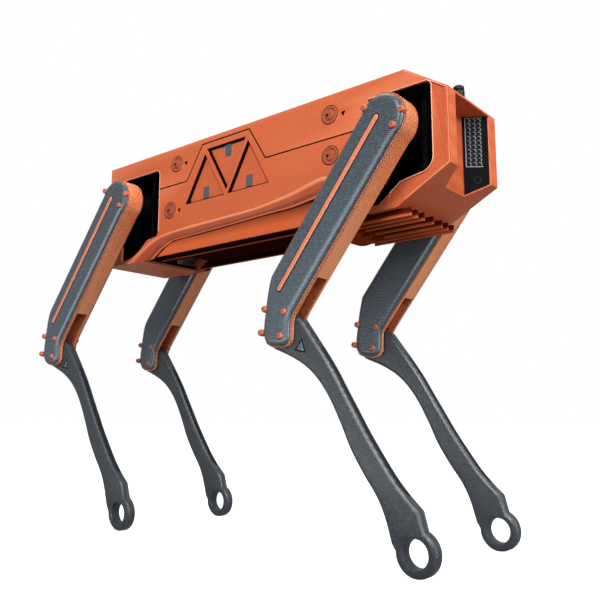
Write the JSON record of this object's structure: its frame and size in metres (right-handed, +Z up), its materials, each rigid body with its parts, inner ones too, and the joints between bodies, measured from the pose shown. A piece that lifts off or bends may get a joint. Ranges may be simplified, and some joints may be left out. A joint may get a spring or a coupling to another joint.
{
  "type": "quadruped robot",
  "caption": "Four-legged walking robot with a slim orange box body, two angled nose sensors and slate two-link legs that end in open ring feet.",
  "frame": {"origin": "on the ground plane, below the middle of the whole machine as it stands", "axes": "+X forward towards the nose, +Y to the robot's left, +Z up"},
  "size_m": [0.5924, 0.1984, 0.467],
  "materials": {
    "orange_plastic": "printed, satin",
    "orange_screw": "satin",
    "slate_plastic": "printed, satin",
    "graphite_plastic": "printed, satin",
    "black_plastic": "matte",
    "machined_steel": "machined",
    "sensor_black": "gloss",
    "sensor_grey": "satin",
    "board": "satin"
  },
  "bodies": {
    "torso": {"lower_shell": "orange_plastic", "upper_shell": "orange_plastic", "belly_tray": "orange_plastic", "chassis_frame": "black_plastic", "battery_pack": "black_plastic", "main_board": "board", "hip_bulkheads": "black_plastic", "roll_actuators": "black_plastic", "roll_bearings": "machined_steel", "sensor_panels": "sensor_black", "sensor_grilles": "sensor_grey", "camera_rings": "sensor_grey", "side_bolts": "orange_screw", "panel_inlays": "slate_plastic", "button_collar": "black_plastic"},
    "button": {"power_button": "black_plastic"},
    "hip_fl": {"hip_carrier_fl": "black_plastic", "hip_actuator_fl": "machined_steel"},
    "thigh_fl": {"hip_axle_fl": "machined_steel", "thigh_frame_fl": "orange_plastic", "outer_cover_fl": "slate_plastic", "inner_cover_fl": "slate_plastic", "thigh_stripe_fl": "orange_plastic", "thigh_screws_fl": "orange_screw", "knee_actuator_fl": "machined_steel", "knee_pin_fl": "machined_steel"},
    "lower_leg_fl": {"shank_fl": "graphite_plastic"},
    "hip_fr": {"hip_carrier_fr": "black_plastic", "hip_actuator_fr": "machined_steel"},
    "thigh_fr": {"hip_axle_fr": "machined_steel", "thigh_frame_fr": "orange_plastic", "outer_cover_fr": "slate_plastic", "inner_cover_fr": "slate_plastic", "thigh_stripe_fr": "orange_plastic", "thigh_screws_fr": "orange_screw", "knee_actuator_fr": "machined_steel", "knee_pin_fr": "machined_steel"},
    "lower_leg_fr": {"shank_fr": "graphite_plastic"},
    "hip_rl": {"hip_carrier_rl": "black_plastic", "hip_actuator_rl": "machined_steel"},
    "thigh_rl": {"hip_axle_rl": "machined_steel", "thigh_frame_rl": "orange_plastic", "outer_cover_rl": "slate_plastic", "inner_cover_rl": "slate_plastic", "thigh_stripe_rl": "orange_plastic", "thigh_screws_rl": "orange_screw", "knee_actuator_rl": "machined_steel", "knee_pin_rl": "machined_steel"},
    "lower_leg_rl": {"shank_rl": "graphite_plastic"},
    "hip_rr": {"hip_carrier_rr": "black_plastic", "hip_actuator_rr": "machined_steel"},
    "thigh_rr": {"hip_axle_rr": "machined_steel", "thigh_frame_rr": "orange_plastic", "outer_cover_rr": "slate_plastic", "inner_cover_rr": "slate_plastic", "thigh_stripe_rr": "orange_plastic", "thigh_screws_rr": "orange_screw", "knee_actuator_rr": "machined_steel", "knee_pin_rr": "machined_steel"},
    "lower_leg_rr": {"shank_rr": "graphite_plastic"}
  },
  "joints": [
    {"name": "power_button_press", "type": "slide", "parent": "torso", "child": "button", "axis": [0, 0, -1], "range_m": [0, 0.0015], "stiffness_N_per_m": 400},
    {"name": "hip_roll_fl", "type": "hinge", "parent": "torso", "child": "hip_fl", "pos_m": [0.248, 0.028, 0.402], "axis": [1, 0, 0], "range_deg": [-8, 20]},
    {"name": "hip_pitch_fl", "type": "hinge", "parent": "hip_fl", "child": "thigh_fl", "pos_m": [0.248, 0.08038, 0.402], "axis": [0, 1, 0], "range_deg": [-35, 35]},
    {"name": "knee_fl", "type": "hinge", "parent": "thigh_fl", "child": "lower_leg_fl", "pos_m": [0.11925, 0.08038, 0.2236], "axis": [0, 1, 0], "range_deg": [-60, 40]},
    {"name": "hip_roll_fr", "type": "hinge", "parent": "torso", "child": "hip_fr", "pos_m": [0.248, -0.028, 0.402], "axis": [-1, 0, 0], "range_deg": [-8, 20]},
    {"name": "hip_pitch_fr", "type": "hinge", "parent": "hip_fr", "child": "thigh_fr", "pos_m": [0.248, -0.08038, 0.402], "axis": [0, 1, 0], "range_deg": [-35, 35]},
    {"name": "knee_fr", "type": "hinge", "parent": "thigh_fr", "child": "lower_leg_fr", "pos_m": [0.11925, -0.08038, 0.2236], "axis": [0, 1, 0], "range_deg": [-60, 40]},
    {"name": "hip_roll_rl", "type": "hinge", "parent": "torso", "child": "hip_rl", "pos_m": [-0.1505, 0.028, 0.402], "axis": [1, 0, 0], "range_deg": [-8, 20]},
    {"name": "hip_pitch_rl", "type": "hinge", "parent": "hip_rl", "child": "thigh_rl", "pos_m": [-0.1505, 0.08038, 0.402], "axis": [0, 1, 0], "range_deg": [-35, 35]},
    {"name": "knee_rl", "type": "hinge", "parent": "thigh_rl", "child": "lower_leg_rl", "pos_m": [-0.27925, 0.08038, 0.2236], "axis": [0, 1, 0], "range_deg": [-60, 40]},
    {"name": "hip_roll_rr", "type": "hinge", "parent": "torso", "child": "hip_rr", "pos_m": [-0.1505, -0.028, 0.402], "axis": [-1, 0, 0], "range_deg": [-8, 20]},
    {"name": "hip_pitch_rr", "type": "hinge", "parent": "hip_rr", "child": "thigh_rr", "pos_m": [-0.1505, -0.08038, 0.402], "axis": [0, 1, 0], "range_deg": [-35, 35]},
    {"name": "knee_rr", "type": "hinge", "parent": "thigh_rr", "child": "lower_leg_rr", "pos_m": [-0.27925, -0.08038, 0.2236], "axis": [0, 1, 0], "range_deg": [-60, 40]}
  ]
}
